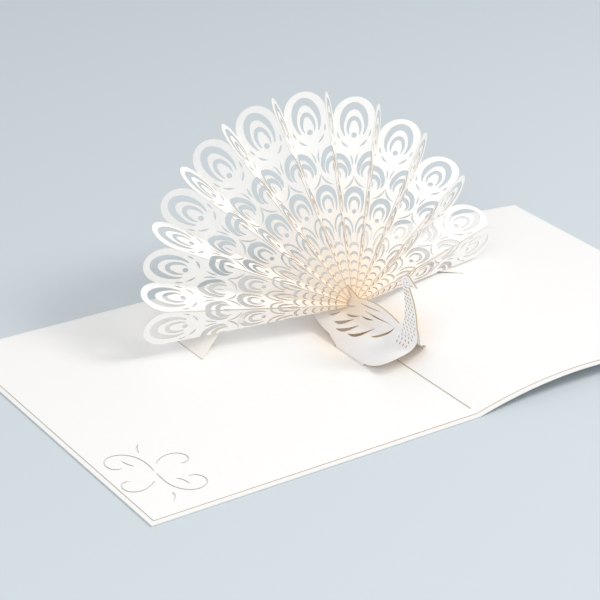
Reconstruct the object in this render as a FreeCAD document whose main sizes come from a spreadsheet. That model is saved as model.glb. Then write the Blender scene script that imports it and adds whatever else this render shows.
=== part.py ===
import FreeCAD, Part
import math
import os
from FreeCAD import Matrix, Vector

# A pop up card lying open: a folded cover, a liner sheet glued on its inner
# faces, the two side sheets of a bird's body, one pleated and pierced sheet
# that opens as its tail fan, and two strips that pull the ends of the fan.
# X runs to the right across the spine, Y to the back along it, Z is up.
# The origin is on the surface the card lies on, halfway along the spine.
# Lengths are millimetres, angles degrees. "from the front" means measured
# along the spine from the front edges of the leaves.

SIZES = [
    ("leaf_width", 150.0, "one leaf, from the spine to its outer edge"),
    ("leaf_depth", 150.0, "the leaves, front edge to back edge"),
    ("cover_thick", 0.5, "cover card"),
    ("liner_thick", 0.3, "liner paper"),
    ("liner_inset", 2.0, "cover left showing round the liner"),
    ("rise_angle", 14.3, "how steeply the right leaf leaves the spine"),
    ("rise_radius", 212.0, "radius of the bow in the right leaf"),
    ("draw_in", 0.8, "how much the bow draws the right edge in"),
    ("spine_slit_end", 55.0, "back end of the slit along the spine, from the front"),
    ("spine_slit_width", 0.8, "slit along the spine"),
    ("paper_thick", 0.3, "paper of the bird and the strips"),
    ("slit_clearance", 0.35, "room round a foot in its slit"),
    ("fan_back", 82.7, "apex of the fan, from the front"),
    ("fan_height", 12.8, "apex of the fan above the surface"),
    ("fan_radius", 93.0, "apex to the tip of a loop"),
    ("fan_inner_radius", 7.5, "apex to the inner edge of the fan"),
    ("fan_tilt", 26.0, "lean of the fan to the back"),
    ("fan_sweep", 10.5, "how far the folds sweep behind the fan's plane"),
    ("fold_step", 8.75, "angle from one fold to the next round the fan"),
    ("pleat_rise", 3.5, "folds stand this angle before and behind the sweep"),
    ("pleat_pairs", 10, "pairs of panels"),
    ("ring_width", 2.1, "outer ring of each loop"),
    ("inner_ring_width", 0.9, "ring inside the loop"),
    ("eye_hole_radius", 1.2, "round hole in each loop"),
    ("bend_height", 17.0, "where the side sheets part, above the surface"),
    ("body_spread", 14.5, "foot of a side sheet from the spine"),
    ("shoulder_lean", 68.0, "steepest lean of a side sheet from upright, in degrees"),
    ("foot_lean", 20.0, "lean of a side sheet from upright at its foot, in degrees"),
    ("foot_front", 56.0, "front end of the body's foot, from the front"),
    ("foot_length", 19.0, "the body's foot along the spine"),
    ("foot_slit_width", 1.5, "slit that the body's foot goes through"),
    ("chest_front", 40.3, "foremost point of the chest, from the front"),
    ("neck_base_height", 17.6, "root of the neck above the surface"),
    ("back_height", 19.6, "top of the back above the surface"),
    ("head_height", 40.0, "crown of the head above the surface"),
    ("neck_width", 7.6, "neck, front to back"),
    ("beak_length", 5.4, "beak"),
    ("rump_length", 19.0, "rump behind the apex of the fan"),
    ("tail_tab_height", 3.0, "tab on the tail end, above the back"),
    ("strip_foot_inset", 25.0, "reach of the fan beyond a strip's foot"),
    ("strip_foot_back", 93.5, "front end of a strip's foot, from the front"),
    ("strip_foot_length", 17.5, "foot of a strip"),
    ("strip_foot_height", 0.4, "upright foot of a strip above the liner"),
    ("strip_attach_inset", 36.0, "reach of the fan beyond the place where a strip is glued"),
    ("strip_pass", 2.5, "how far behind the fan's edge a strip's front corner lies"),
    ("strip_reach", 8.5, "glue flap of a strip along the fan's end panel"),
    ("strip_flap", 3.0, "depth of that glue flap"),
]

doc = FreeCAD.newDocument("pop_up_card")
sheet = doc.addObject("Spreadsheet::Sheet", "sizes")
for row, (alias, value, note) in enumerate(SIZES, start=1):
    sheet.set("A%d" % row, alias)
    sheet.set("B%d" % row, str(value))
    sheet.set("C%d" % row, note)
    sheet.setAlias("B%d" % row, alias)
doc.recompute()


def size(alias):
    return float(sheet.get(alias))


leaf_width = size("leaf_width")
leaf_depth = size("leaf_depth")
cover_thick = size("cover_thick")
liner_thick = size("liner_thick")
liner_top = cover_thick + liner_thick
paper = size("paper_thick")
clearance = size("slit_clearance")


def from_front(distance):
    return distance - leaf_depth / 2


def add_feature(name, shape):
    feature = doc.addObject("Part::Feature", name)
    feature.Shape = shape
    return feature


def extrude(name, base, direction, length_expression):
    solid = doc.addObject("Part::Extrusion", name)
    solid.Base = base
    solid.DirMode = "Custom"
    solid.Dir = direction
    solid.Solid = True
    solid.Symmetric = True
    solid.setExpression("LengthFwd", length_expression)
    return solid


def combine(kind, name, shapes):
    result = doc.addObject("Part::" + kind, name)
    if kind in ("Cut", "Common"):
        result.Base, result.Tool = shapes
    else:
        result.Shapes = shapes
    return result


# The two leaves

# The left leaf lies flat. The right leaf leaves the spine at an angle, bows
# over along one arc and runs down straight until its edge meets the surface.
rise_angle = math.radians(size("rise_angle"))
rise_radius = size("rise_radius")
right_reach = leaf_width - size("draw_in")
bow_centre = Vector(rise_radius * math.sin(rise_angle), 0, -rise_radius * math.cos(rise_angle))
edge_from_centre = Vector(right_reach, 0, 0) - bow_centre
fall_angle = (math.atan2(edge_from_centre.x, edge_from_centre.z)
              - math.acos(rise_radius / edge_from_centre.Length))
down_slope = Vector(math.cos(fall_angle), 0, -math.sin(fall_angle))
off_slope = Vector(math.sin(fall_angle), 0, math.cos(fall_angle))


def bow_point(angle, height):
    radius = rise_radius + height
    return bow_centre + Vector(radius * math.sin(angle), 0, radius * math.cos(angle))


def right_leaf_height(x, height):
    """Height above the surface of the layer `height` up in the right leaf."""
    if x < bow_point(fall_angle, height).x:
        radius = rise_radius + height
        return bow_centre.z + math.sqrt(radius ** 2 - (x - bow_centre.x) ** 2)
    edge = Vector(right_reach, 0, 0) + off_slope * height
    return edge.z + (edge.x - x) * math.tan(fall_angle)


def leaf_curve(height, inset):
    """Edges along both leaves, `height` up in them, from left to right."""
    # the angle at which the bow reaches the height of the flat leaf
    start_angle = -math.acos((height - bow_centre.z) / (rise_radius + height))
    middle_angle = (start_angle + fall_angle) / 2
    left = Vector(-leaf_width + inset, 0, height)
    fold = bow_point(start_angle, height)
    crest = bow_point(middle_angle, height)
    tangent = bow_point(fall_angle, height)
    right = Vector(right_reach, 0, 0) + off_slope * height - down_slope * inset
    return [
        Part.LineSegment(left, fold).toShape(),
        Part.Arc(fold, crest, tangent).toShape(),
        Part.LineSegment(tangent, right).toShape(),
    ]


def leaf_section(low, high, inset):
    lower = leaf_curve(low, inset)
    upper = leaf_curve(high, inset)
    left_end = Part.LineSegment(lower[0].firstVertex().Point, upper[0].firstVertex().Point)
    right_end = Part.LineSegment(lower[2].lastVertex().Point, upper[2].lastVertex().Point)
    edges = lower + [right_end.toShape()] + upper + [left_end.toShape()]
    return Part.Face(Part.Wire(Part.__sortEdges__(edges)))


def space_under(height):
    """Section of all that lies below the layer `height` up in the leaves."""
    upper = leaf_curve(height, 0)
    left = upper[0].firstVertex().Point
    right = upper[2].lastVertex().Point
    depth = Vector(0, 0, -3 * size("bend_height"))
    corners = [left, left + depth, right + depth, right]
    sides = [Part.LineSegment(a, b).toShape() for a, b in zip(corners, corners[1:])]
    return Part.Face(Part.Wire(Part.__sortEdges__(upper + sides)))


cover_section = add_feature("cover_section", leaf_section(0, cover_thick, 0))
cover = extrude("cover", cover_section, Vector(0, 1, 0), "sizes.leaf_depth")
cover.Label = "cover"
liner_section = add_feature(
    "liner_section", leaf_section(cover_thick, liner_top, size("liner_inset")))
liner_sheet = extrude("liner_sheet", liner_section, Vector(0, 1, 0),
                      "sizes.leaf_depth - 2 * sizes.liner_inset")
under_cover = extrude("under_cover", add_feature("under_cover_section", space_under(cover_thick)),
                      Vector(0, 1, 0), "2 * sizes.leaf_depth")
under_liner = extrude("under_liner", add_feature("under_liner_section", space_under(liner_top)),
                      Vector(0, 1, 0), "2 * sizes.leaf_depth")

# The pleated tail fan

# The fan is worked out about its apex with its own axis along Z and its
# middle along Y. Odd folds stand before the swept surface, even ones behind.
pairs = int(size("pleat_pairs"))
fold_step = math.radians(size("fold_step"))
fan_sweep = math.radians(size("fan_sweep"))
pleat_rise = math.radians(size("pleat_rise"))
fan_radius = size("fan_radius")
inner_radius = size("fan_inner_radius")


def fold_direction(number):
    turn = (number - pairs) * fold_step
    lift = -fan_sweep + (pleat_rise if number % 2 else -pleat_rise)
    return Vector(math.sin(turn) * math.cos(lift), math.cos(turn) * math.cos(lift),
                  math.sin(lift))


half_panel = fold_direction(0).getAngle(fold_direction(1)) / 2
loop_radius = fan_radius * math.sin(half_panel) / (1 + math.sin(half_panel))
loop_centre = fan_radius - loop_radius


def flat(x, y):
    return Vector(x, y, 0)


def on_circle(centre_x, centre_y, radius, degrees_from_tip):
    turn = math.radians(degrees_from_tip)
    return flat(centre_x + radius * math.sin(turn), centre_y + radius * math.cos(turn))


def on_fold(distance, side):
    return flat(side * distance * math.sin(half_panel), distance * math.cos(half_panel))


def arc(start, middle, end):
    return Part.Arc(start, middle, end).toShape()


def line(start, end):
    return Part.LineSegment(start, end).toShape()


def cut_face(edges):
    return Part.Face(Part.Wire(Part.__sortEdges__(edges)))


def panel_outline():
    """One flat panel: a sector with a round loop at its outer end."""
    tangent_distance = loop_centre * math.cos(half_panel)
    inner_left = on_fold(inner_radius, -1)
    inner_right = on_fold(inner_radius, 1)
    outer_left = on_fold(tangent_distance, -1)
    outer_right = on_fold(tangent_distance, 1)
    return cut_face([
        line(inner_left, outer_left),
        arc(outer_left, flat(0, fan_radius), outer_right),
        line(outer_right, inner_right),
        line(inner_right, inner_left),
    ])


def chords(centre, radius, start, end, count):
    """Points along an arc, `start` and `end` in degrees from the tip."""
    turns = [start + (end - start) * step / count for step in range(count + 1)]
    return [on_circle(centre.x, centre.y, radius, turn) for turn in turns]


def hole(points):
    return Part.Face(Part.makePolygon(points + points[:1]))


def crescent(outer_centre, outer, inner_centre, inner, spread, count):
    """A crescent open to the base, its horns where both arcs meet."""
    horns = chords(flat(0, outer_centre), outer, -spread, spread, count)
    width = horns[-1].x
    drop = horns[-1].y - inner_centre
    bow = math.degrees(math.atan2(width, drop))
    inner_edge = chords(flat(0, inner_centre), inner, bow, -bow, count - 1)
    return hole(horns + inner_edge[1:-1])


def half_arch(distance, outer, width, side, spread, count):
    """Half of an arch that runs on over the fold into the next panel."""
    centre = on_fold(distance, side)
    lean = side * math.degrees(half_panel)
    far = lean - side * spread
    outer_edge = chords(centre, outer, lean, far, count)
    inner_edge = chords(centre, outer - width, far, lean, count)
    return hole(outer_edge + inner_edge)


def panel_cuts():
    thin_ring = size("inner_ring_width")
    outer_hole = loop_radius - size("ring_width")
    middle_ring = outer_hole * 0.78
    middle_centre = loop_centre - (outer_hole - middle_ring)
    middle_hole = middle_ring - thin_ring
    disc = middle_hole * 0.72
    disc_centre = middle_centre - (middle_hole - disc)
    eye = chords(flat(0, disc_centre - disc * 0.25), size("eye_hole_radius"), 0, 315, 7)
    cuts = [
        crescent(loop_centre, outer_hole, middle_centre, middle_ring, 110, 8),
        crescent(middle_centre, middle_hole, disc_centre, disc, 100, 6),
        hole(eye),
    ]
    # arches that straddle the folds: the second and the fourth row
    for side in (-1, 1):
        cuts.append(half_arch(fan_radius * 0.735, loop_radius * 0.53, 1.3, side, 112, 4))
        cuts.append(half_arch(fan_radius * 0.455, loop_radius * 0.29, 0.8, side, 105, 3))
    # the third row: an arch on the centre line
    third = fan_radius * 0.585
    third_radius = loop_radius * 0.44
    cuts.append(crescent(third, third_radius, third - 1.2, third_radius - 0.3, 95, 6))
    # crescents in single file down to the base
    for share in (0.385, 0.325, 0.27, 0.22):
        centre = fan_radius * share
        radius = centre * math.sin(half_panel) * 0.62
        cuts.append(crescent(centre, radius, centre - radius * 0.6, radius, 80, 4))
    return cuts


def panel_matrix(number):
    """Places the flat panel between two folds of the fan."""
    first = fold_direction(number)
    second = fold_direction(number + 1)
    middle = (first + second).normalize()
    across = (second - first).normalize()
    normal = across.cross(middle)
    return Matrix(across.x, middle.x, normal.x, 0,
                  across.y, middle.y, normal.y, 0,
                  across.z, middle.z, normal.z, 0,
                  0, 0, 0, 1)


flat_panel = panel_outline().cut(panel_cuts())
panel = flat_panel.extrude(Vector(0, 0, paper))
panel.translate(Vector(0, 0, -paper / 2))
plates = []
for number in range(2 * pairs):
    plate = panel.copy()
    plate.Placement = FreeCAD.Placement(panel_matrix(number)).multiply(panel.Placement)
    plates.append(plate)
fan_placement = FreeCAD.Placement(
    Vector(0, from_front(size("fan_back")), size("fan_height")),
    FreeCAD.Rotation(Vector(1, 0, 0), 90 - size("fan_tilt")))
tail_fan = add_feature("tail_fan", plates[0].multiFuse(plates[1:]))
tail_fan.Placement = fan_placement
tail_fan.Label = "tail_fan"

# The bird's side sheets

# Both sheets stand flat against each other in the head, the neck and the
# ridge of the back. Below the bend they part and bow out to their feet.
bend_height = size("bend_height")
spread = size("body_spread")


def side_section(side):
    """The sheet leaves the ridge upright, bends outward and bulges down to its foot."""
    shoulder = math.radians(size("shoulder_lean"))
    foot = math.radians(size("foot_lean"))
    # the radii of two arcs that lead from the ridge out to the foot
    upper_out = 1 - math.cos(shoulder)
    upper_down = math.sin(shoulder)
    lower_out = math.cos(foot) - math.cos(shoulder)
    lower_down = math.sin(shoulder) - math.sin(foot)
    share = upper_out * lower_down - lower_out * upper_down
    upper = (spread * lower_down - bend_height * lower_out) / share
    lower = (bend_height * upper_out - spread * upper_down) / share
    upper_centre = Vector(-upper, 0, bend_height)
    meeting = upper_centre + Vector(upper * math.cos(shoulder), 0, -upper * math.sin(shoulder))
    lower_centre = meeting + Vector(lower * math.cos(shoulder), 0, -lower * math.sin(shoulder))
    # the sheet runs on below the surface and is trimmed to the leaf it stands on
    end = foot - math.radians(10)

    def above(radius, angle):
        return upper_centre + Vector(radius * math.cos(angle), 0, -radius * math.sin(angle))

    def below(radius, angle):
        return lower_centre + Vector(-radius * math.cos(angle), 0, radius * math.sin(angle))

    edges = []
    for radius in (upper, upper - paper):
        edges.append(arc(above(radius, 0), above(radius, shoulder / 2), above(radius, shoulder)))
    for radius in (lower, lower + paper):
        edges.append(arc(below(radius, shoulder), below(radius, (shoulder + end) / 2),
                         below(radius, end)))
    edges.append(line(above(upper, 0), above(upper - paper, 0)))
    edges.append(line(below(lower, end), below(lower + paper, end)))
    face = cut_face(edges)
    if side > 0:
        face = face.mirror(Vector(0, 0, 0), Vector(1, 0, 0))
    return face


def profile(points):
    """Closed outline in the plane of the spine: (x from the front, height),
    where a triple is the middle of an arc to the next point."""
    edges = []
    corners = [Vector(0, from_front(p[0]), p[1]) for p in points]
    arcs = [len(p) == 3 for p in points]
    index = 0
    while index < len(points):
        nxt = (index + 1) % len(points)
        if arcs[nxt]:
            after = (index + 2) % len(points)
            edges.append(arc(corners[index], corners[nxt], corners[after]))
            index += 2
        else:
            edges.append(line(corners[index], corners[nxt]))
            index += 1
    return cut_face(edges)


foot_front = size("foot_front")
foot_rear = foot_front + size("foot_length")
chest = size("chest_front")
neck_width = size("neck_width")
neck_base = size("neck_base_height")
back_height = size("back_height")
head = size("head_height")
fan_back = size("fan_back")
rump_tip = fan_back + size("rump_length")
ARC = "arc"

bird_outline = profile([
    (foot_front, -2.0),
    (foot_front, 1.3),
    (chest + 6.9, 4.4, ARC),
    (chest + 0.9, 9.9),
    (chest, 14.2, ARC),
    (chest + 1.4, neck_base + 2.3),
    (chest + 3.6, (neck_base + head) / 2 - 0.9, ARC),
    (chest + 8.4, head - 4.5),
    (chest + 1.8 + neck_width - 0.6 - size("beak_length"), head - 2.9),
    (chest + 7.0, head - 1.1),
    (chest + 10.3, head, ARC),
    (chest + 13.2, head - 3.6),
    (chest + 10.3, neck_base + 12.0, ARC),
    (chest + 2.1 + neck_width, neck_base + 5.4),
    (chest + 2.8 + neck_width, neck_base + 1.9, ARC),
    (chest + 13.0, neck_base),
    ((chest + 11.4 + fan_back) / 2, back_height, ARC),
    (fan_back - 3.0, back_height - 2.3),
    (fan_back + 8.0, back_height + size("tail_tab_height")),
    (fan_back + 9.0, back_height + size("tail_tab_height")),
    (fan_back + 7.0, back_height - 1.0),
    (fan_back + 4.5, bend_height - 1.2),
    (rump_tip, 8.2),
    (fan_back + 9.0, 4.9, ARC),
    (foot_rear + 7.0, 3.5),
    (foot_rear + 3.0, 2.2, ARC),
    (foot_rear, 1.3),
    (foot_rear, -2.0),
])


def feather_slit(front, front_height, rear, rear_height, sag, width):
    """A crescent in the side sheets, hollow side up."""
    start = Vector(0, from_front(front), front_height)
    end = Vector(0, from_front(rear), rear_height)
    middle = (start + end) * 0.5
    down = Vector(0, end.z - start.z, start.y - end.y).normalize()
    return cut_face([arc(start, middle + down * sag, end),
                     arc(start, middle + down * (sag + width), end)])


wing = fan_back - 4.0
feather_slits = [
    feather_slit(wing - 23.9, 14.9, wing - 17.0, 9.3, 0.7, 0.9),
    feather_slit(wing - 15.0, 11.2, wing - 6.0, 6.6, 0.6, 1.1),
    feather_slit(wing - 7.7, 10.1, wing + 1.2, 6.0, 0.4, 1.15),
    feather_slit(wing - 2.8, 10.4, wing + 4.5, 7.5, 0.1, 1.15),
    feather_slit(wing + 5.9, 10.3, wing + 9.4, 8.3, 0.1, 0.7),
    feather_slit(wing - 11.4, 12.9, wing - 4.3, 12.0, 0.1, 0.5),
    feather_slit(wing - 3.8, 11.8, wing + 2.5, 10.5, 0.2, 0.5),
    feather_slit(wing - 20.0, 15.1, wing - 3.7, 14.2, 0.2, 0.45),
    feather_slit(wing - 13.8, 17.6, wing - 0.1, 15.8, 0.1, 0.45),
    feather_slit(wing + 1.1, 13.9, wing + 7.9, 12.3, 0.3, 0.5),
]

bird_profile = extrude("bird_profile", add_feature("bird_outline", bird_outline),
                       Vector(1, 0, 0), "3 * sizes.body_spread")
feather_cuts = extrude("feather_cuts", add_feature("feather_outlines",
                                                   Part.makeCompound(feather_slits)),
                       Vector(1, 0, 0), "3 * sizes.body_spread")
foot_range = doc.addObject("Part::Box", "foot_range")
foot_range.setExpression("Length", "4 * sizes.body_spread")
foot_range.setExpression("Width", "sizes.foot_length")
foot_range.setExpression("Height", "3 * sizes.bend_height")
foot_range.setExpression("Placement.Base.x", "-2 * sizes.body_spread")
foot_range.setExpression("Placement.Base.y", "sizes.foot_front - sizes.leaf_depth / 2")
foot_range.setExpression("Placement.Base.z", "-1.5 * sizes.bend_height")


def side_sheet(name, side):
    bowed = extrude(name + "_bowed", add_feature(name + "_section", side_section(side)),
                    Vector(0, 1, 0), "2 * sizes.leaf_depth")
    upright = doc.addObject("Part::Box", name + "_upright")
    upright.setExpression("Length", "sizes.paper_thick")
    upright.setExpression("Width", "sizes.leaf_depth")
    upright.setExpression("Height", "2 * sizes.head_height")
    upright.setExpression("Placement.Base.x", "0" if side > 0 else "-sizes.paper_thick")
    upright.setExpression("Placement.Base.y", "-sizes.leaf_depth / 2")
    upright.setExpression("Placement.Base.z", "sizes.bend_height - sizes.paper_thick")
    sheet_form = combine("MultiFuse", name + "_form", [bowed, upright])
    whole = combine("Common", name + "_whole", (sheet_form, bird_profile))
    pierced = combine("Cut", name + "_pierced", (whole, feather_cuts))
    above = combine("Cut", name + "_above", (pierced, under_liner))
    foot = combine("Common", name + "_foot", (pierced, foot_range))
    foot_trimmed = combine("Cut", name + "_foot_trimmed", (foot, under_cover))
    joined = combine("MultiFuse", name + "_joined", [above, foot_trimmed])
    seated = combine("Cut", name, (joined, tail_fan))
    seated.Label = name
    return seated


body_left = side_sheet("body_left", -1)
body_right = side_sheet("body_right", 1)

# The two strips

strip_foot_out = fan_radius - size("strip_foot_inset")
strip_attach = fan_radius - size("strip_attach_inset")
strip_foot_front = from_front(size("strip_foot_back"))
strip_foot_rear = strip_foot_front + size("strip_foot_length")


def plate_on(corners, normal, thickness):
    """A plate on one side of a flat outline."""
    return hole(corners).extrude(normal * thickness)


def leaf_height(x, height):
    return height if x < 0 else right_leaf_height(x, height)


def pull_strip(side):
    """An upright foot, the strip itself and a flap glued behind the end panel."""
    end_fold = fold_direction(0 if side < 0 else 2 * pairs)
    next_fold = fold_direction(1 if side < 0 else 2 * pairs - 1)
    turn = fan_placement.Rotation
    rear = turn.multVec(end_fold.cross(next_fold)).normalize()
    if rear.y < 0:
        rear = -rear
    behind = rear * paper
    start = fan_placement.multVec(end_fold * strip_attach) + rear * (paper / 2) + behind
    foot_x = side * strip_foot_out
    foot_top = leaf_height(foot_x, liner_top) + size("strip_foot_height")
    foot_bottom = leaf_height(foot_x, cover_thick)
    front_foot = Vector(foot_x, strip_foot_front, foot_top)
    rear_foot = Vector(foot_x, strip_foot_rear, foot_top)
    # the strip's plane holds its foot and the start of the glue line
    strip_normal = Vector(0, 1, 0).cross(start - front_foot).normalize()
    if strip_normal.z < 0:
        strip_normal = -strip_normal
    glue_line = rear.cross(strip_normal).normalize()
    if glue_line.x * side > 0:
        glue_line = -glue_line
    # the strip passes under the fan's edge before it rises behind the panel
    corner = start + Vector(0, size("strip_pass"), 0)
    start += glue_line * size("strip_pass")
    glue_end = start + glue_line * size("strip_reach")
    up = glue_line.cross(rear).normalize()
    if up.z < 0:
        up = -up
    flap_edge = up * size("strip_flap")
    root = up * (2 * paper)
    flap = plate_on([start - root, glue_end - root, glue_end + flap_edge, start + flap_edge],
                    rear, -paper)
    # the strip's edge runs on into the thickness of the flap
    inward = glue_line.cross(strip_normal).normalize()
    inward *= paper / 2 / inward.dot(-rear)
    strip = plate_on([front_foot, rear_foot, glue_end, glue_end + inward, start + inward,
                      start, corner], strip_normal, -paper)
    down = Vector(0, 0, foot_bottom - foot_top)
    foot = plate_on([front_foot, rear_foot, rear_foot + down, front_foot + down],
                    Vector(side, 0, 0), paper)
    # the fold between the strip and its upright foot
    fold_depth = strip_normal * paper
    foot_side = Vector(side * paper, 0, 0)
    length = rear_foot - front_foot
    fold = hole([front_foot, front_foot + foot_side, front_foot - Vector(0, 0, paper) + foot_side,
                 front_foot - fold_depth]).extrude(length)
    return strip.multiFuse([flap, foot, fold])


strips = []
for name, side in (("strip_left", -1), ("strip_right", 1)):
    form = add_feature(name + "_form", pull_strip(side))
    over_cover = combine("Cut", name + "_seated", (form, under_cover))
    strip = combine("Cut", name, (over_cover, tail_fan))
    strip.Label = name
    strips.append(strip)

# The slits in the liner


def slit(name, width, length, centre_x, front):
    """A slit along the spine: width and length are expressions on the sheet."""
    box = doc.addObject("Part::Box", name)
    box.setExpression("Length", width)
    box.setExpression("Width", length)
    box.setExpression("Height", "3 * sizes.bend_height")
    box.setExpression("Placement.Base.x", "%s - (%s) / 2" % (centre_x, width))
    box.setExpression("Placement.Base.y", "%s - sizes.leaf_depth / 2" % front)
    box.setExpression("Placement.Base.z", "-sizes.bend_height")
    return box


def foot_place(sheet_part, side):
    """Middle of a body foot where it goes through the liner."""
    section = sheet_part.Shape.copy()
    foot_zone = section.BoundBox
    layer = Part.makeBox(4 * spread, size("foot_length") / 2, liner_thick,
                         Vector(-2 * spread, from_front(foot_front + 5), 0))
    layer.translate(Vector(0, 0, foot_zone.ZMin))
    passing = section.common(layer).BoundBox
    return (passing.XMin + passing.XMax) / 2


doc.recompute()
foot_slit_length = "sizes.foot_length + 2 * sizes.slit_clearance"
strip_slit_width = "sizes.paper_thick + 2 * sizes.slit_clearance"
strip_slit_length = "sizes.strip_foot_length + 2 * sizes.slit_clearance"
slits = [slit("spine_slit", "sizes.spine_slit_width", "sizes.spine_slit_end - 3 * sizes.liner_inset",
              "0", "3 * sizes.liner_inset")]
for side, part, label in ((-1, body_left, "left"), (1, body_right, "right")):
    slits.append(slit("body_slit_" + label, "sizes.foot_slit_width", foot_slit_length,
                      "%.4f" % foot_place(part, side), "(sizes.foot_front - sizes.slit_clearance)"))
    slits.append(slit("strip_slit_" + label, strip_slit_width, strip_slit_length,
                      "%d * (sizes.fan_radius - sizes.strip_foot_inset + sizes.paper_thick / 2)" % side,
                      "(sizes.strip_foot_back - sizes.slit_clearance)"))
liner_cuts = combine("MultiFuse", "liner_cuts", slits)
liner = combine("Cut", "liner", (liner_sheet, liner_cuts))
liner.Label = "liner"

doc.recompute()
nodes = [cover, liner, body_left, body_right, tail_fan] + strips

for item in doc.Objects:
    if "Invalid" in item.State or "Error" in item.State:
        raise RuntimeError("%s did not rebuild: %s" % (item.Name, item.State))
for node in nodes:
    if node.Shape.isNull() or not node.Shape.isValid():
        raise RuntimeError("%s has no valid shape" % node.Label)
    if len(node.Shape.Solids) != 1:
        raise RuntimeError("%s is %d solids" % (node.Label, len(node.Shape.Solids)))

os.makedirs("parts", exist_ok=True)
for node in nodes:
    node.Shape.exportStep("parts/%s.step" % node.Label)
    box = node.Shape.BoundBox
    print("%s: volume %.1f, X %.2f to %.2f, Y %.2f to %.2f, Z %.2f to %.2f" % (
        node.Label, node.Shape.Volume, box.XMin, box.XMax, box.YMin, box.YMax,
        box.ZMin, box.ZMax))
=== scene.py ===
"""A square greeting card, open and lying flat, with a small pop-up bird and its pierced fan."""

import math

import bmesh
import bpy
from mathutils import Matrix, Vector


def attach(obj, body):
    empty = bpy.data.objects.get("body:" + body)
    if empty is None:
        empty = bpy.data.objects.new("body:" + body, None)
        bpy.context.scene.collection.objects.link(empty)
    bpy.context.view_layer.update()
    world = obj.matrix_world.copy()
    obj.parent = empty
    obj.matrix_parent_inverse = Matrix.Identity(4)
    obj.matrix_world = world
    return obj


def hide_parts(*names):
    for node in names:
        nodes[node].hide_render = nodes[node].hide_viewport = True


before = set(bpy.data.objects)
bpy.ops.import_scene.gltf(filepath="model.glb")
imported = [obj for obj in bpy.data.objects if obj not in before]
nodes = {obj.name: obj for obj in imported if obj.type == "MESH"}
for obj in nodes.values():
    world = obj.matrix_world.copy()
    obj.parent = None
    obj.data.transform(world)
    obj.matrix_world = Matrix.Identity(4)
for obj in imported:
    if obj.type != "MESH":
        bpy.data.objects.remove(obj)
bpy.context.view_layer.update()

MM = 0.001

# Sizes in millimetres, the same as the solids have, but for those under the next comment
PAPER = 0.3
LEAF = 150.0
FAN_BACK = 82.7
FAN_HEIGHT = 12.8
FAN_RADIUS = 93.0
FAN_TILT = math.radians(26)
FAN_SWEEP = math.radians(10.5)
FOLD_STEP = math.radians(8.75)
PLEAT_RISE = math.radians(3.5)
PAIRS = 10
BEND = 17.0
BODY_SPREAD = 14.5
SHOULDER = math.radians(68)
FOOT_LEAN = math.radians(20)
FOOT_FRONT = 56.0
FOOT_REAR = 75.0
CHEST = 40.3
COVER_TOP = 0.5
LINER_TOP = 0.8
RISE_ANGLE = math.radians(14.3)
RISE_RADIUS = 212.0
RIGHT_EDGE = 149.2
STRIP_FOOT = 68.0
STRIP_FRONT = 93.5
STRIP_LENGTH = 17.5
LINER_INSET = 2.0
SPINE_SLIT_END = 55.0
SPINE_SLIT_WIDTH = 0.8
FOOT_SLIT_WIDTH = 1.5
SLIT_CLEARANCE = 0.35

# The solids start the fan further out, fold its inner pleats less and don't trim the right sheet
FAN_INNER = 3.5
INNER_PLEAT_RISE = math.radians(4.6)
RIGHT_TRIM = 3.0


# Materials

def new_material(name):
    material = bpy.data.materials.new(name)
    material.use_nodes = True
    tree = material.node_tree
    tree.nodes.clear()
    output = tree.nodes.new("ShaderNodeOutputMaterial")
    shader = tree.nodes.new("ShaderNodeBsdfPrincipled")
    tree.links.new(shader.outputs["BSDF"], output.inputs["Surface"])
    return material, tree, shader


def noise(tree, coordinates, scale, detail, roughness=0.5):
    node = tree.nodes.new("ShaderNodeTexNoise")
    node.inputs["Scale"].default_value = scale
    node.inputs["Detail"].default_value = detail
    node.inputs["Roughness"].default_value = roughness
    tree.links.new(coordinates, node.inputs["Vector"])
    return node


def ramp(tree, value, stops):
    node = tree.nodes.new("ShaderNodeValToRGB")
    elements = node.color_ramp.elements
    while len(elements) < len(stops):
        elements.new(0.5)
    for element, (position, color) in zip(elements, stops):
        element.position = position
        element.color = color + (1,)
    tree.links.new(value, node.inputs["Fac"])
    return node


def distance_from(tree, coordinates, point, reach):
    """0 at the point, 1 at `reach` from it, all in metres."""
    node = tree.nodes.new("ShaderNodeVectorMath")
    node.operation = "DISTANCE"
    node.inputs[1].default_value = point
    tree.links.new(coordinates, node.inputs[0])
    scaled = tree.nodes.new("ShaderNodeMath")
    scaled.operation = "DIVIDE"
    scaled.use_clamp = True
    scaled.inputs[1].default_value = reach
    tree.links.new(node.outputs["Value"], scaled.inputs[0])
    return scaled.outputs["Value"]


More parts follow.
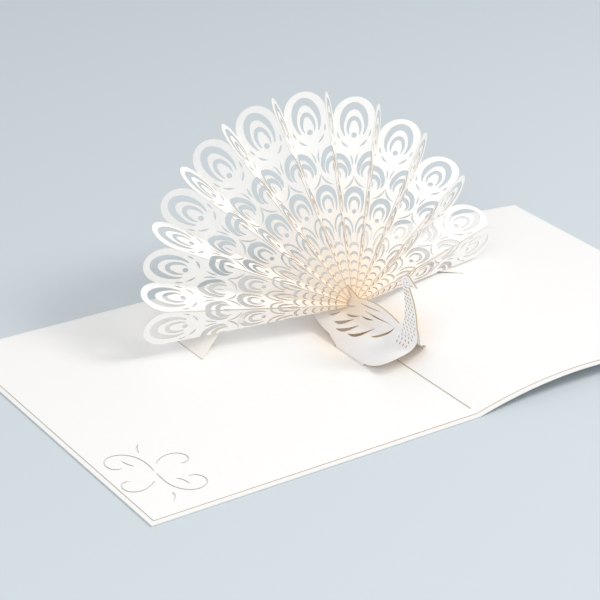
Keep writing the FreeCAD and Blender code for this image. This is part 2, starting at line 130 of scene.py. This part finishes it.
def score_lines(tree, colour):
    """Brown score lines on the front folds, fainter towards the tips, all in millimetres."""
    line_core = 0.12
    line_end = 0.38
    fading_start = 45
    fading_end = 82
    place = tree.nodes.new("ShaderNodeUVMap")
    place.uv_map = "from_fold"
    split = tree.nodes.new("ShaderNodeSeparateXYZ")
    tree.links.new(place.outputs["UV"], split.inputs["Vector"])
    near_fold = tree.nodes.new("ShaderNodeMapRange")
    near_fold.inputs["From Min"].default_value = line_core
    near_fold.inputs["From Max"].default_value = line_end
    near_fold.inputs["To Min"].default_value = 1
    near_fold.inputs["To Max"].default_value = 0
    tree.links.new(split.outputs["X"], near_fold.inputs["Value"])
    fading = tree.nodes.new("ShaderNodeMapRange")
    fading.inputs["From Min"].default_value = fading_start
    fading.inputs["From Max"].default_value = fading_end
    fading.inputs["To Min"].default_value = 0.75
    fading.inputs["To Max"].default_value = 0.25
    tree.links.new(split.outputs["Y"], fading.inputs["Value"])
    strength = tree.nodes.new("ShaderNodeMath")
    strength.operation = "MULTIPLY"
    tree.links.new(near_fold.outputs["Result"], strength.inputs[0])
    tree.links.new(fading.outputs["Result"], strength.inputs[1])
    scored = tree.nodes.new("ShaderNodeMix")
    scored.data_type = "RGBA"
    scored.inputs["B"].default_value = (0.55, 0.42, 0.27, 1)
    tree.links.new(strength.outputs["Value"], scored.inputs["Factor"])
    tree.links.new(colour, scored.inputs["A"])
    return scored.outputs["Result"]


def paper_material(name, near, far, painted_glow_at=None, reach=0.07, roughness=0.42, grain=0.05,
                   scored=False):
    """Smooth pearl paper. `near` tints it round a given point: a painted warm glow of bounced light.
    """
    material, tree, shader = new_material(name)
    texture = tree.nodes.new("ShaderNodeTexCoord")
    place = texture.outputs["Object"]
    fibres = noise(tree, place, 900, 6, 0.65)
    # Painted warm glow of bounced light, strongest at the given point and fading out over `reach`
    if painted_glow_at:
        base = ramp(tree, distance_from(tree, place, painted_glow_at, reach),
                    [(0.0, near), (0.45, tuple((a + 2 * b) / 3 for a, b in zip(near, far))),
                     (1.0, far)]).outputs["Color"]
    else:
        clouds = noise(tree, place, 42, 3)
        base = ramp(tree, clouds.outputs["Fac"], [(0.3, near), (0.7, far)]).outputs["Color"]
    if scored:
        base = score_lines(tree, base)
    mottled = tree.nodes.new("ShaderNodeMix")
    mottled.data_type = "RGBA"
    mottled.blend_type = "MULTIPLY"
    mottled.inputs["Factor"].default_value = grain
    tree.links.new(base, mottled.inputs["A"])
    tree.links.new(fibres.outputs["Fac"], mottled.inputs["B"])
    tree.links.new(mottled.outputs["Result"], shader.inputs["Base Color"])
    shader.inputs["Roughness"].default_value = roughness
    shader.inputs["Specular IOR Level"].default_value = 0.4
    shader.inputs["Sheen Weight"].default_value = 0.12
    bump = tree.nodes.new("ShaderNodeBump")
    bump.inputs["Strength"].default_value = 0.12
    bump.inputs["Distance"].default_value = 0.00006
    tree.links.new(fibres.outputs["Fac"], bump.inputs["Height"])
    tree.links.new(bump.outputs["Normal"], shader.inputs["Normal"])
    return material


def edge_material(name, near, far, painted_glow_at, reach):
    """The cut edges, singed brown by the cutter's heat, and painted a deeper brown of shade and warm
    bounced light round a given point.
    """
    material, tree, shader = new_material(name)
    texture = tree.nodes.new("ShaderNodeTexCoord")
    place = texture.outputs["Object"]
    streaks = noise(tree, place, 700, 3)
    # Painted shade and warm bounce light: the singed brown deepens towards the given point
    tone = ramp(tree, distance_from(tree, place, painted_glow_at, reach), [(0.0, near), (1.0, far)])
    mottled = tree.nodes.new("ShaderNodeMix")
    mottled.data_type = "RGBA"
    mottled.blend_type = "MULTIPLY"
    mottled.inputs["Factor"].default_value = 0.35
    tree.links.new(tone.outputs["Color"], mottled.inputs["A"])
    tree.links.new(streaks.outputs["Fac"], mottled.inputs["B"])
    tree.links.new(mottled.outputs["Result"], shader.inputs["Base Color"])
    shader.inputs["Roughness"].default_value = 0.7
    return material


APEX = (0.0, (FAN_BACK - LEAF / 2) * MM, FAN_HEIGHT * MM)
# BELLY centres a painted warm glow of bounced light on the liner under the bird
BELLY = (0.003, (FOOT_REAR - LEAF / 2) * MM, LINER_TOP * MM)
# UNDER_WING centres a painted warm glow of bounced light on the inner faces of the side sheets
UNDER_WING = (0.010, (FOOT_REAR - LEAF / 2) * MM, 0.006)
WHITE = (0.93, 0.92, 0.90)
# The peach round the fan's apex on the fan and body papers is a painted warm glow of bounced light
fan_paper = paper_material("fan_paper", (0.93, 0.74, 0.54), WHITE, APEX, 0.06, scored=True)
# Fan edges: real singeing, painted a deeper brown of shade and warm bounce light round the apex
fan_edge = edge_material("fan_cut_edge", (0.50, 0.33, 0.15), (0.86, 0.80, 0.70), APEX, 0.085)
body_paper = paper_material("body_paper", (0.93, 0.74, 0.54), (0.94, 0.92, 0.905), APEX, 0.026)
# Inner faces: warm off-white from the cutter's smoke, with a painted orange glow of warm bounced
# light round UNDER_WING
body_inside = paper_material("body_inside", (0.95, 0.62, 0.30), (0.93, 0.90, 0.86), UNDER_WING, 0.03)
strip_paper = paper_material("strip_paper", (0.92, 0.88, 0.81), (0.93, 0.90, 0.86))
# Singed cut edges, painted a deeper brown of shade and warm bounce light towards the fan's apex
liner_edge = edge_material("liner_cut_edge", (0.50, 0.36, 0.19), (0.55, 0.49, 0.40), APEX, 0.14)
body_edge = edge_material("body_cut_edge", (0.54, 0.38, 0.20), (0.58, 0.45, 0.29), APEX, 0.06)
cover_card = paper_material("cover_card", (0.92, 0.91, 0.885), (0.93, 0.92, 0.90), grain=0.06)
# Liner: a painted peach glow of warm bounced light under the bird's belly
liner_card = paper_material("liner_card", (0.95, 0.70, 0.42), (0.94, 0.932, 0.918), BELLY, 0.034,
                            grain=0.04)


def dress(node, *materials):
    node.data.materials.clear()
    for material in materials:
        node.data.materials.append(material)


# Flat shapes

def sheet_mesh(name, outline, holes):
    """A flat mesh, in metres, of an outline with holes in it, both given in millimetres."""
    curve = bpy.data.curves.new(name, "CURVE")
    curve.dimensions = "2D"
    curve.fill_mode = "BOTH"
    for points in [outline] + holes:
        spline = curve.splines.new("POLY")
        spline.points.add(len(points) - 1)
        for target, (x, y) in zip(spline.points, points):
            target.co = (x * MM, y * MM, 0, 1)
        spline.use_cyclic_u = True
    holder = bpy.data.objects.new(name, curve)
    bpy.context.scene.collection.objects.link(holder)
    bpy.context.view_layer.update()
    graph = bpy.context.evaluated_depsgraph_get()
    mesh = bpy.data.meshes.new_from_object(holder.evaluated_get(graph))
    bpy.data.objects.remove(holder)
    bpy.data.curves.remove(curve)
    return mesh


def give_thickness(piece, thickness, offset, inside=0):
    modifier = piece.modifiers.new("paper", "SOLIDIFY")
    modifier.thickness = thickness * MM
    modifier.offset = offset
    modifier.material_offset_rim = 1
    modifier.material_offset = inside
    graph = bpy.context.evaluated_depsgraph_get()
    mesh = bpy.data.meshes.new_from_object(piece.evaluated_get(graph))
    piece.modifiers.clear()
    piece.data = mesh


def add_piece(name, mesh, materials):
    piece = bpy.data.objects.new(name, mesh)
    bpy.context.scene.collection.objects.link(piece)
    dress(piece, *materials)
    return piece


# One panel of the fan, with its apex at the origin and its tip along Y

def fold_direction(number):
    turn = (number - PAIRS) * FOLD_STEP
    rise = PLEAT_RISE if number in (0, 2 * PAIRS) else INNER_PLEAT_RISE
    lift = -FAN_SWEEP + (rise if number % 2 else -rise)
    return Vector((math.sin(turn) * math.cos(lift), math.cos(turn) * math.cos(lift),
                   math.sin(lift)))


HALF_PANEL = fold_direction(PAIRS).angle(fold_direction(PAIRS + 1)) / 2
LOOP = FAN_RADIUS * math.sin(HALF_PANEL) / (1 + math.sin(HALF_PANEL))
LOOP_CENTRE = FAN_RADIUS - LOOP


def on_egg(egg, degrees, inward=0.0):
    """A point of an egg (centre, half width, rise, drop), or one `inward` of it."""
    centre, wide, rise, drop = egg
    turn = math.radians(degrees)
    x = wide * math.sin(turn)
    y = (rise if abs(degrees) < 90 else drop) * math.cos(turn)
    kept = 1 - inward / math.hypot(x, y)
    return (x * kept, centre + y * kept)


def circle(centre, radius, start, end, count):
    egg = (centre, radius, radius, radius)
    return [on_egg(egg, start + (end - start) * step / count) for step in range(count + 1)]


def crescent(egg, spread, thick, horn, count=12, first=None):
    """Over the top of an egg, `thick` in its middle and `horn` at its two ends."""
    outer = []
    inner = []
    for step in range(-count if first is None else first, count + 1):
        share = step / count
        depth = horn + (thick - horn) * max(0, math.cos(math.pi / 2 * share)) ** 0.8
        outer.append(on_egg(egg, spread * share))
        inner.append(on_egg(egg, spread * share, depth))
    return outer + inner[::-1]


def lens(egg, start, end, width, count=8):
    """A slit along an egg, `width` wide in its middle and pointed at both ends."""
    outer = []
    inner = []
    for step in range(count + 1):
        degrees = start + (end - start) * step / count
        swell = width / 2 * math.sin(math.pi * step / count)
        outer.append(on_egg(egg, degrees, -swell))
        if 0 < step < count:
            inner.append(on_egg(egg, degrees, swell))
    return outer + inner[::-1]


def mirrored(points):
    return [(-x, y) for x, y in reversed(points)]


def across_fold(points, side=1):
    """From (distance off a fold, distance along it) to a place on the panel."""
    sine = math.sin(HALF_PANEL)
    cosine = math.cos(HALF_PANEL)
    return [(side * (along * sine - off * cosine), along * cosine + off * sine)
            for off, along in points]


def fold_crescent(egg, spread, thick, horn):
    """Half of a crescent astride the right fold, from its lower to its upper edge."""
    return across_fold(crescent(egg, spread, thick, horn, first=0)[::-1])


def panel_outline(notches):
    """Up the right fold, round the loop and down the left fold, notched by what lies astride."""
    tangent = LOOP_CENTRE * math.cos(HALF_PANEL)
    right = across_fold([(0, FAN_INNER)])
    for notch in notches:
        right += notch
    right += across_fold([(0, tangent)])
    sweep = 90 + math.degrees(HALF_PANEL)
    tip = circle(LOOP_CENTRE, LOOP, sweep, -sweep, 44)
    return right + tip[1:-1] + mirrored(right)


def panel_holes():
    tip = LOOP_CENTRE
    unit = LOOP
    ring = (tip - 0.5 * unit, 0.81 * unit, unit, 1.04 * unit)
    holes = [
        crescent((tip - 0.2 * unit, 0.68 * unit, 0.92 * unit, 0.98 * unit), 140,
                 0.36 * unit, 0.05 * unit, 18),
        crescent((tip - 0.5 * unit, 0.36 * unit, 0.53 * unit, 0.56 * unit), 138,
                 0.22 * unit, 0.04 * unit),
        circle(tip - 0.92 * unit, 0.13 * unit, 0, 342, 19),
        crescent((47.3, 4.4, 4.9, 9.0), 140, 2.7, 0.25, 14),
        crescent((44.9, 2.45, 2.9, 4.6), 138, 1.6, 0.2),
        circle(41.0, 0.95, 0, 336, 14),
    ]
    for top in (27.6, 23.5, 19.5, 15.7, 12.1, 8.8):
        wide = 0.66 * top * math.sin(HALF_PANEL)
        holes.append(crescent((top - wide, wide, wide, 0.9 * wide), 112, 0.7 * wide, 0.1, 8))
    for side in (-1, 1):
        holes += [
            lens(ring, side * 101, side * 123, 0.08 * unit),
            lens(ring, side * 129, side * 162, 0.1 * unit),
            across_fold(lens((58.6, 6.3, 7.0, 7.2), 104, 171, 0.85), side),
            across_fold(lens((63.0, 6.2, 8.0, 7.0), 62, 104, 0.7), side),
        ]
    return holes


def panel_notches():
    """Halves of the shapes astride the right fold, from the base up."""
    return [
        across_fold([(0, 25.6), (0.35, 27.0), (0.5, 28.6), (0.3, 30.2), (0, 31.6)]),
        fold_crescent((31.0, 2.2, 4.6, 5.4), 135, 1.5, 0.2),
        fold_crescent((33.5, 3.35, 5.6, 4.6), 118, 1.0, 0.2),
        across_fold([(0, 56.6), (0.45, 57.6), (0.6, 58.8), (0.35, 59.9), (0, 60.4)]),
        fold_crescent((59.2, 3.7, 4.4, 4.4), 136, 2.1, 0.3),
        fold_crescent((60.0, 5.5, 8.0, 4.6), 134, 2.6, 0.3),
    ]


def fan_mesh():
    flat = sheet_mesh("panel", panel_outline(panel_notches()), panel_holes())
    flat.uv_layers.new(name="from_fold")
    build = bmesh.new()
    for number in range(2 * PAIRS):
        first = fold_direction(number)
        second = fold_direction(number + 1)
        middle = (first + second).normalized()
        across = (second - first).normalized()
        normal = across.cross(middle)
        turn = Matrix((across, middle, normal)).transposed().to_4x4()
        panel = flat.copy()
        fold_side = -1 if number % 2 else 1
        places = panel.uv_layers["from_fold"].data
        for corner in panel.loops:
            x, y, z = panel.vertices[corner.vertex_index].co
            off_fold = y * math.sin(HALF_PANEL) - fold_side * x * math.cos(HALF_PANEL)
            places[corner.index].uv = (off_fold / MM, y / MM)
        width = math.tan(first.angle(second) / 2) / math.tan(HALF_PANEL)
        panel.transform(turn @ Matrix.Diagonal((width, 1, 1, 1)))
        build.from_mesh(panel)
        bpy.data.meshes.remove(panel)
    bmesh.ops.remove_doubles(build, verts=build.verts, dist=0.00002)
    bmesh.ops.dissolve_degenerate(build, edges=build.edges, dist=0.000002)
    bmesh.ops.recalc_face_normals(build, faces=build.faces)
    mesh = bpy.data.meshes.new("tail_fan_paper")
    build.to_mesh(mesh)
    build.free()
    bpy.data.meshes.remove(flat)
    place = (Matrix.Translation(Vector(APEX))
             @ Matrix.Rotation(math.pi / 2 - FAN_TILT, 4, "X"))
    mesh.transform(place)
    return mesh


fan = add_piece("tail_fan_paper", fan_mesh(), [fan_paper, fan_edge])
give_thickness(fan, PAPER, 0)
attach(fan, "root")
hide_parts("tail_fan")


# The leaves

bow_centre = Vector((RISE_RADIUS * math.sin(RISE_ANGLE), -RISE_RADIUS * math.cos(RISE_ANGLE)))
edge_place = Vector((RIGHT_EDGE, 0)) - bow_centre
FALL_ANGLE = math.atan2(edge_place.x, edge_place.y) - math.acos(RISE_RADIUS / edge_place.length)


def leaf_height(x, height):
    """Height above the table of the layer `height` up in the leaves."""
    radius = RISE_RADIUS + height
    if x > bow_centre.x + radius * math.sin(FALL_ANGLE):
        edge_z = height * math.cos(FALL_ANGLE)
        return edge_z + (RIGHT_EDGE + height * math.sin(FALL_ANGLE) - x) * math.tan(FALL_ANGLE)
    return max(height, bow_centre.y + math.sqrt(radius ** 2 - (x - bow_centre.x) ** 2))


def bisect(build, levels, axis):
    """Cut a flat mesh along lines, so that it can bend."""
    normal = Vector((1, 0, 0)) if axis == 0 else Vector((0, 1, 0))
    for level in levels:
        everything = build.verts[:] + build.edges[:] + build.faces[:]
        bmesh.ops.bisect_plane(build, geom=everything, plane_co=normal * level * MM,
                               plane_no=normal)


def smooth(piece, angle=0.5):
    piece.data.shade_smooth()
    piece.data.set_sharp_from_angle(angle=angle)


def rectangle(x, width, front, length):
    left = x - width / 2
    right = x + width / 2
    return [(left, front), (right, front), (right, front + length), (left, front + length)]


def stroke(line, width):
    """A slit along a line, tapered to both ends."""
    left = []
    right = []
    last = len(line) - 1
    for index, point in enumerate(line):
        ahead = Vector(line[min(index + 1, last)]) - Vector(line[max(index - 1, 0)])
        side = Vector((-ahead.y, ahead.x)).normalized()
        half = width / 2 * min(1, 0.25 + 2.6 * math.sin(math.pi * index / last))
        left.append(tuple(Vector(point) + side * half))
        right.append(tuple(Vector(point) - side * half))
    return left + right[::-1]


def scroll(origin, scale, lean, start, end, flip=1, count=90):
    """A line whose curvature grows along it, so that it curls up at its far end."""
    heading = lean
    x, y = origin
    line = [(x, y)]
    step = (end - start) / count
    for index in range(count):
        place = start + (index + 0.5) * step
        heading = lean + flip * math.pi / 2 * place * abs(place)
        x += scale * step * math.cos(heading)
        y += scale * step * math.sin(heading)
        line.append((x, y))
    return line


def leaf_cut(x, y, length, width, lean):
    """A pointed leaf with one full and one flat side."""
    along = Vector((math.cos(lean), math.sin(lean)))
    across = Vector((-along.y, along.x))
    points = []
    for share in [step / 12 for step in range(13)]:
        swell = math.sin(math.pi * share ** 0.75)
        points.append(Vector((x, y)) + along * length * share + across * width * swell)
    for share in [step / 12 for step in range(11, 0, -1)]:
        swell = math.sin(math.pi * share)
        points.append(Vector((x, y)) + along * length * share + across * width * 0.25 * swell)
    return [tuple(point) for point in points]


def ornament():
    """A plain vine scroll cut into the liner near its front left corner, in two like halves."""
    middle = Vector((-130.5, 29.0))
    half = [stroke(scroll(middle + Vector((0, 0.7)), 20.5, math.radians(84), 0, 1.78), 0.65),
            stroke(scroll(middle + Vector((3.4, 5.0)), 14.5, math.radians(40), 0.1, 1.68, -1, 60),
                   0.55),
            leaf_cut(middle.x - 4.2, middle.y + 7.4, 6.5, 1.1, math.radians(112)),
            leaf_cut(middle.x + 2.0, middle.y + 14.6, 6.5, 1.1, math.radians(62))]
    other_half = [[tuple(2 * middle - Vector(point)) for point in cut] for cut in half]
    return half + other_half


def liner_piece():
    near = -LEAF + LINER_INSET
    far = RIGHT_EDGE - LINER_INSET * math.cos(FALL_ANGLE) + LINER_TOP * math.sin(FALL_ANGLE)
    back_edge = LEAF - LINER_INSET
    outline = [(near, LINER_INSET), (0, LINER_INSET), (far, LINER_INSET), (far, back_edge),
               (0, back_edge), (near, back_edge)]
    right_foot_level = 3.6
    foot_x = (side_x(LINER_TOP), side_x(right_foot_level))
    foot_length = FOOT_REAR - FOOT_FRONT
    spine_slit_front = 3 * LINER_INSET
    cuts = [rectangle(0, SPINE_SLIT_WIDTH, spine_slit_front, SPINE_SLIT_END - spine_slit_front)]
    for side, x in zip((-1, 1), foot_x):
        cuts.append(rectangle(side * x, FOOT_SLIT_WIDTH, FOOT_FRONT - SLIT_CLEARANCE,
                              foot_length + 2 * SLIT_CLEARANCE))
        cuts.append(rectangle(side * (STRIP_FOOT + PAPER / 2), PAPER + 2 * SLIT_CLEARANCE,
                              STRIP_FRONT - SLIT_CLEARANCE, STRIP_LENGTH + 2 * SLIT_CLEARANCE))
    mesh = sheet_mesh("liner_sheet", outline, cuts + ornament())
    build = bmesh.new()
    build.from_mesh(mesh)
    bend_lines = [SPINE_SLIT_WIDTH / 2 + 2.0 * step for step in range(47)]
    bisect(build, [0] + bend_lines, 0)
    height = (COVER_TOP + LINER_TOP) / 2
    for vertex in build.verts:
        x, y, z = vertex.co / MM
        vertex.co = Vector((x, y - LEAF / 2, leaf_height(x, height))) * MM
    build.to_mesh(mesh)
    build.free()
    piece = add_piece("liner_sheet", mesh, [liner_card, liner_edge])
    give_thickness(piece, LINER_TOP - COVER_TOP, 0)
    smooth(piece, 0.2)
    return piece


# The bird's side sheets

def bow_arcs():
    """Radii and centres of the two arcs of a side sheet, ridge to foot."""
    upper_out = 1 - math.cos(SHOULDER)
    upper_down = math.sin(SHOULDER)
    lower_out = math.cos(FOOT_LEAN) - math.cos(SHOULDER)
    lower_down = math.sin(SHOULDER) - math.sin(FOOT_LEAN)
    share = upper_out * lower_down - lower_out * upper_down
    upper = (BODY_SPREAD * lower_down - BEND * lower_out) / share
    lower = (BEND * upper_out - BODY_SPREAD * upper_down) / share
    height = BEND - (upper + lower) * math.sin(SHOULDER)
    out = upper - (upper + lower) * math.cos(SHOULDER)
    return upper - PAPER / 2, lower + PAPER / 2, upper, out, height


UPPER, LOWER, UPPER_OUT, LOWER_OUT, LOWER_HEIGHT = bow_arcs()


def side_x(z):
    """How far the middle of a side sheet stands from the spine at a height."""
    if z >= BEND:
        return PAPER / 2
    down = (BEND - z) / UPPER
    if down < math.sin(SHOULDER):
        return UPPER_OUT - UPPER * math.sqrt(1 - down * down)
    up = (z - LOWER_HEIGHT) / LOWER
    return LOWER_OUT + LOWER * math.sqrt(1 - up * up)


def through(start, middle, end, count=10):
    """Points along the arc from start over middle to end, without the start."""
    (ax, ay), (bx, by), (cx, cy) = start, middle, end
    bulk = 2 * (ax * (by - cy) + bx * (cy - ay) + cx * (ay - by))
    a2 = ax * ax + ay * ay
    b2 = bx * bx + by * by
    c2 = cx * cx + cy * cy
    ux = (a2 * (by - cy) + b2 * (cy - ay) + c2 * (ay - by)) / bulk
    uy = (a2 * (cx - bx) + b2 * (ax - cx) + c2 * (bx - ax)) / bulk
    radius = math.hypot(ax - ux, ay - uy)
    first = math.atan2(ay - uy, ax - ux)
    sweep = math.atan2(cy - uy, cx - ux) - first
    # bulk is negative where the arc runs clockwise
    if bulk > 0 and sweep < 0:
        sweep += 2 * math.pi
    if bulk < 0 and sweep > 0:
        sweep -= 2 * math.pi
    return [(ux + radius * math.cos(first + sweep * step / count),
             uy + radius * math.sin(first + sweep * step / count))
            for step in range(1, count + 1)]


def side_outline(side):
    """Outline of a side sheet seen from the side: (from the front, height)."""
    trim = 0 if side < 0 else RIGHT_TRIM
    points = [(FOOT_FRONT, 1.3)]

    def run(*corners):
        for corner in corners:
            if isinstance(corner[0], tuple):
                points.extend(through(points[-1], corner[0], corner[1]))
            else:
                points.append(corner)

    run(((CHEST + 6.9 + trim, 4.4), (CHEST + 0.9 + trim, 9.9)),
        ((CHEST, 14.2), (CHEST + 1.4, 19.9)),
        ((CHEST + 3.6, 27.9), (CHEST + 8.4, 35.5)),
        (CHEST + 3.4, 37.1),
        (CHEST + 7.0, 38.9),
        ((CHEST + 10.3, 40.0), (CHEST + 13.2, 36.4)),
        ((CHEST + 10.3, 29.6), (CHEST + 9.7, 23.0)),
        ((CHEST + 10.4, 19.5), (CHEST + 13.0, 17.6)),
        (((CHEST + 11.4 + FAN_BACK) / 2, 19.6), (FAN_BACK - 3.0, 17.3)),
        (FAN_BACK + 6.0, 19.9),
        (FAN_BACK + 6.6, 18.4),
        (FAN_BACK + 4.5, 15.8),
        (FAN_BACK + 19.0, 8.2),
        ((FAN_BACK + 9.0, 4.9), (FOOT_REAR + 7.0, 3.5)),
        ((FOOT_REAR + 3.0, 2.2), (FOOT_REAR, 1.3)))
    liner = LINER_TOP if side < 0 else leaf_height(side_x(3.6), LINER_TOP)
    cover = COVER_TOP if side < 0 else leaf_height(side_x(3.4), COVER_TOP)
    kept = [(y, max(z, liner)) for y, z in points]
    return kept + [(FOOT_REAR, cover), (FOOT_FRONT, cover)]


def feather(front, front_z, rear, rear_z, sag, width):
    """A crescent slit, its hollow side up."""
    start = Vector((front, front_z))
    end = Vector((rear, rear_z))
    middle = (start + end) / 2
    down = Vector((end.y - start.y, start.x - end.x)).normalized()
    upper = through(tuple(start), tuple(middle + down * sag), tuple(end))
    lower = through(tuple(end), tuple(middle + down * (sag + width)), tuple(start))
    return upper + lower


def neck_slits():
    """Rows of short slanting slits from under the head down to the chest."""
    top = 33.6
    pitch = 1.38
    neck_foot = 17.6
    breast_top = 19
    slits = []
    for row in range(17):
        z = top - row * pitch
        share = (z - neck_foot) / (top - neck_foot)
        if z > breast_top:
            front = CHEST + 1.6 + 6.6 * max(share, 0) ** 1.8
            rear = CHEST + 9.6 + 1.9 * max(share, 0) ** 3
        else:
            front = CHEST + 1.2 + (breast_top - z) * 0.25
            rear = CHEST + 10.2 + (breast_top - z) * 0.12
        columns = 4 if z < 23 else 3
        stagger = 0.25 if row % 2 else -0.25
        for column in range(columns):
            y = front + (rear - front) * (column + 0.5 + stagger * 0.7) / columns
            slits.append(lens_slit(y, z, 1.3, 0.42, math.radians(38)))
    return slits


def lens_slit(y, z, length, width, lean):
    along = Vector((math.cos(lean), math.sin(lean))) * length / 2
    across = Vector((-along.y, along.x)).normalized() * width / 2
    middle = Vector((y, z))
    shares = (-1, -0.5, 0, 0.5, 1)
    upper = [middle + along * share + across * (1 - share * share) for share in shares]
    lower = [middle + along * share - across * (1 - share * share) for share in (0.5, 0, -0.5)]
    return [tuple(point) for point in upper + lower]


def head_cuts():
    eye = [(CHEST + 9.6 + 0.34 * math.sin(turn), 37.3 + 0.34 * math.cos(turn))
           for turn in [math.tau * step / 10 for step in range(10)]]
    return [eye,
            lens_slit(CHEST + 11.0, 38.2, 0.8, 0.3, math.radians(20)),
            lens_slit(CHEST + 11.6, 36.6, 0.8, 0.3, math.radians(60)),
            stroke([(CHEST + 9.0, 36.4), (CHEST + 7.4, 36.6), (CHEST + 5.8, 37.0)], 0.22),
            stroke([(CHEST + 11.8, 35.6), (CHEST + 10.8, 34.9), (CHEST + 9.6, 34.9),
                    (CHEST + 8.6, 35.3)], 0.28)]


wing = FAN_BACK - 4.0
FEATHERS = [
    feather(wing - 23.9, 14.9, wing - 17.0, 9.3, 0.7, 0.9),
    feather(wing - 15.0, 11.2, wing - 6.0, 6.6, 0.6, 1.1),
    feather(wing - 7.7, 10.1, wing + 1.2, 6.0, 0.4, 1.15),
    feather(wing - 2.8, 10.4, wing + 4.5, 7.5, 0.1, 1.15),
    feather(wing + 5.9, 10.3, wing + 9.4, 8.3, 0.1, 0.7),
    feather(wing - 11.4, 12.9, wing - 4.3, 12.0, 0.1, 0.5),
    feather(wing - 3.8, 11.8, wing + 2.5, 10.5, 0.2, 0.5),
    feather(wing - 20.0, 15.1, wing - 3.7, 14.2, 0.2, 0.45),
    feather(wing - 13.8, 17.6, wing - 0.1, 15.8, 0.1, 0.45),
    feather(wing + 1.1, 13.9, wing + 7.9, 12.3, 0.3, 0.5),
]


def side_piece(name, side):
    mesh = sheet_mesh(name, side_outline(side), FEATHERS + neck_slits() + head_cuts())
    build = bmesh.new()
    build.from_mesh(mesh)
    bend_lines = [BEND - 0.7 * step for step in reversed(range(24))]
    bisect(build, bend_lines, 1)
    for vertex in build.verts:
        y, z, _ = vertex.co / MM
        vertex.co = Vector((side * side_x(z), y - LEAF / 2, z)) * MM
    bmesh.ops.recalc_face_normals(build, faces=build.faces)
    build.faces.ensure_lookup_table()
    if build.faces[0].normal.x * side < 0:
        bmesh.ops.reverse_faces(build, faces=build.faces)
    build.to_mesh(mesh)
    build.free()
    piece = add_piece(name, mesh, [body_paper, body_edge, body_inside])
    give_thickness(piece, PAPER, 0, 2)
    smooth(piece)
    return piece


for side, node in ((-1, "body_left"), (1, "body_right")):
    sheet = side_piece(node + "_paper", side)
    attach(sheet, "root")
    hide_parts(node)
liner = liner_piece()
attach(liner, "root")
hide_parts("liner")
dress(nodes["cover"], cover_card)
dress(nodes["strip_left"], strip_paper)
dress(nodes["strip_right"], strip_paper)

# The floor and backdrop

FLOOR_HALF = 6
FLOOR_LEVEL = -0.0002
floor_material, _, floor_shader = new_material("plain_floor")
floor_shader.inputs["Base Color"].default_value = (0.60, 0.66, 0.69, 1)
floor_shader.inputs["Roughness"].default_value = 0.9
floor_mesh = bpy.data.meshes.new("floor")
floor_corners = [(x * FLOOR_HALF, y * FLOOR_HALF, FLOOR_LEVEL)
                 for x, y in ((-1, -1), (1, -1), (1, 1), (-1, 1))]
floor_mesh.from_pydata(floor_corners, [], [(0, 1, 2, 3)])
floor = bpy.data.objects.new("floor", floor_mesh)
bpy.context.scene.collection.objects.link(floor)
floor.data.materials.append(floor_material)

# Light and camera

world = bpy.data.worlds.new("studio")
bpy.context.scene.world = world
world.use_nodes = True
world.node_tree.nodes["Background"].inputs["Color"].default_value = (0.97, 0.98, 1.0, 1)
world.node_tree.nodes["Background"].inputs["Strength"].default_value = 0.6


def area_light(name, position, target, size, power, color=(1, 1, 1)):
    data = bpy.data.lights.new(name, "AREA")
    data.shape = "DISK"
    data.size = size
    data.energy = power
    data.color = color
    lamp = bpy.data.objects.new(name, data)
    lamp.location = position
    direction = Vector(target) - Vector(position)
    lamp.rotation_euler = direction.to_track_quat("-Z", "Y").to_euler()
    bpy.context.scene.collection.objects.link(lamp)


area_light("key", (0.75, -0.55, 1.05), (0, 0, 0.02), 0.5, 9.0, (1.0, 0.985, 0.96))
area_light("fill", (-0.8, -0.7, 0.8), (0, 0, 0.03), 0.9, 5.6)

# The camera's distances are in leaf lengths, its focal length in pixels of the frame
CAMERA_BACK = 5.1324
CAMERA_LEFT = 0.4835
CAMERA_UP = 0.2774
FOCAL_LENGTH = 1977.69
FRAME_WIDTH = 600
SENSOR_WIDTH = 36
AZIMUTH = math.radians(-37.066)
ELEVATION = math.radians(26.3075)
ROLL = math.radians(3.1938)
back = Vector((math.sin(AZIMUTH) * math.cos(ELEVATION), -math.cos(AZIMUTH) * math.cos(ELEVATION),
               math.sin(ELEVATION)))
right = Vector((math.cos(AZIMUTH), math.sin(AZIMUTH), 0))
up = back.cross(right)
position = back * CAMERA_BACK - right * CAMERA_LEFT + up * CAMERA_UP
position = (position * LEAF - Vector((0, LEAF / 2, 0))) * MM
rolled_right = right * math.cos(ROLL) + up * math.sin(ROLL)
rolled_up = up * math.cos(ROLL) - right * math.sin(ROLL)
camera_data = bpy.data.cameras.new("camera")
camera_data.sensor_width = SENSOR_WIDTH
camera_data.lens = FOCAL_LENGTH / FRAME_WIDTH * SENSOR_WIDTH
camera_data.clip_start = 0.01
camera = bpy.data.objects.new("camera", camera_data)
turn = Matrix((rolled_right, rolled_up, back)).transposed().to_4x4()
camera.matrix_world = Matrix.Translation(position) @ turn
bpy.context.scene.collection.objects.link(camera)
bpy.context.scene.camera = camera
bpy.context.scene.view_settings.view_transform = "Standard"
